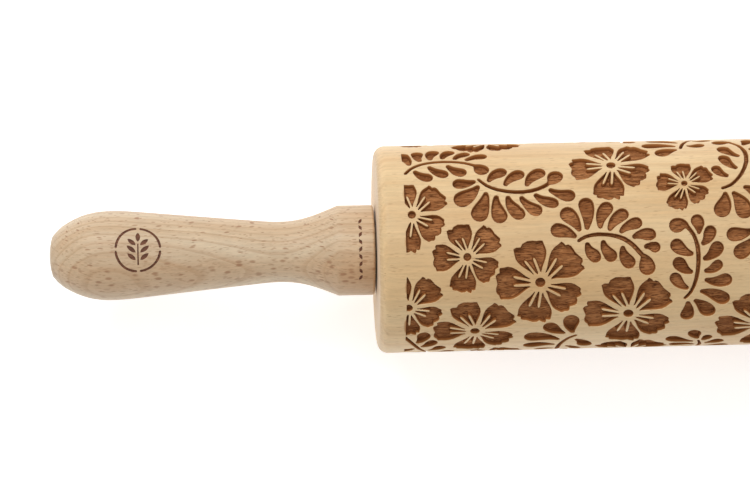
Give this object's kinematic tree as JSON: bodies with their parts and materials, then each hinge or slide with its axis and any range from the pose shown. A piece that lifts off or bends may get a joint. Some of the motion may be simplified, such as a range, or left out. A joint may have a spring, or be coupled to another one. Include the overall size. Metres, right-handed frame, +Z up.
{
  "type": "textured pattern roller",
  "caption": "Wooden embossing rolling pin: an engraved flower-and-leaf roller that spins on a dowel between two turned handles.",
  "frame": {"origin": "centre of the roller on its spin axis, which is also the centre of the whole object's box", "axes": "+X along the spin axis towards the right-hand handle, +Z up out of the table it lies on, +Y across the table"},
  "size_m": [0.4282, 0.06, 0.06],
  "materials": {
    "roller_beech": "fine-sanded steamed beech, unvarnished, with burnt brown engraving",
    "handle_beech": "fine-turned steamed beech, unvarnished",
    "dowel_beech": "plain beech dowel rod"
  },
  "bodies": {
    "handle_assembly": {"axle_dowel": "dowel_beech", "handle_left": "handle_beech", "handle_right": "handle_beech"},
    "roller": {"roller": "roller_beech"}
  },
  "joints": [
    {"name": "roller_spin", "type": "hinge", "parent": "handle_assembly", "child": "roller", "pos_m": [0, 0, 0], "axis": [1, 0, 0], "continuous": true}
  ]
}
